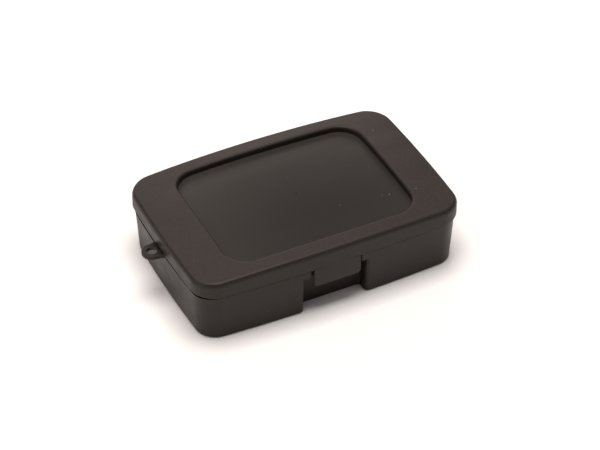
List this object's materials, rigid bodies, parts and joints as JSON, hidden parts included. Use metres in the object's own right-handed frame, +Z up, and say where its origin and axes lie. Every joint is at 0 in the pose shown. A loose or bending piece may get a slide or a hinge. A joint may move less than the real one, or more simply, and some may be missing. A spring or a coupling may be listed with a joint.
{
  "type": "bait station",
  "caption": "Low lidded mouse bait station with a sunk lid panel, a front release tab, a side tie-down ear, rear entrances and a bait chamber with rods and blocks.",
  "frame": {"origin": "centre of the flat underside, at the level the station stands on", "axes": "+X along the length away from the tie-down ear, -Y towards the release tab, +Z up"},
  "size_m": [0.1592, 0.1036, 0.0393],
  "materials": {
    "shell_plastic": "fine matte moulded texture, dark warm grey",
    "insert_plastic": "plain moulded, near black",
    "pin_steel": "drawn wire",
    "rod_steel": "drawn wire with pressed heads",
    "bait_wax": "waxy, dyed blue"
  },
  "bodies": {
    "base": {"base_shell": "shell_plastic", "hinge_pin_left": "pin_steel", "hinge_pin_right": "pin_steel", "bait_tray": "insert_plastic", "baffle_left": "insert_plastic", "baffle_right": "insert_plastic", "bait_rod_front": "rod_steel", "bait_rod_rear": "rod_steel", "bait_block_front_left": "bait_wax", "bait_block_front_right": "bait_wax", "bait_block_rear_left": "bait_wax", "bait_block_rear_right": "bait_wax"},
    "lid": {"lid_shell": "shell_plastic"},
    "tab": {"release_tab": "shell_plastic"}
  },
  "joints": [
    {"name": "lid_hinge", "type": "hinge", "parent": "base", "child": "lid", "pos_m": [0, 0.052, 0.027], "axis": [-1, 0, 0], "range_deg": [0, 110]},
    {"name": "tab_flex", "type": "hinge", "parent": "lid", "child": "tab", "pos_m": [0, -0.049, 0.0284], "axis": [-1, 0, 0], "range_deg": [0, 20], "stiffness_Nm_per_rad": 0.02}
  ]
}
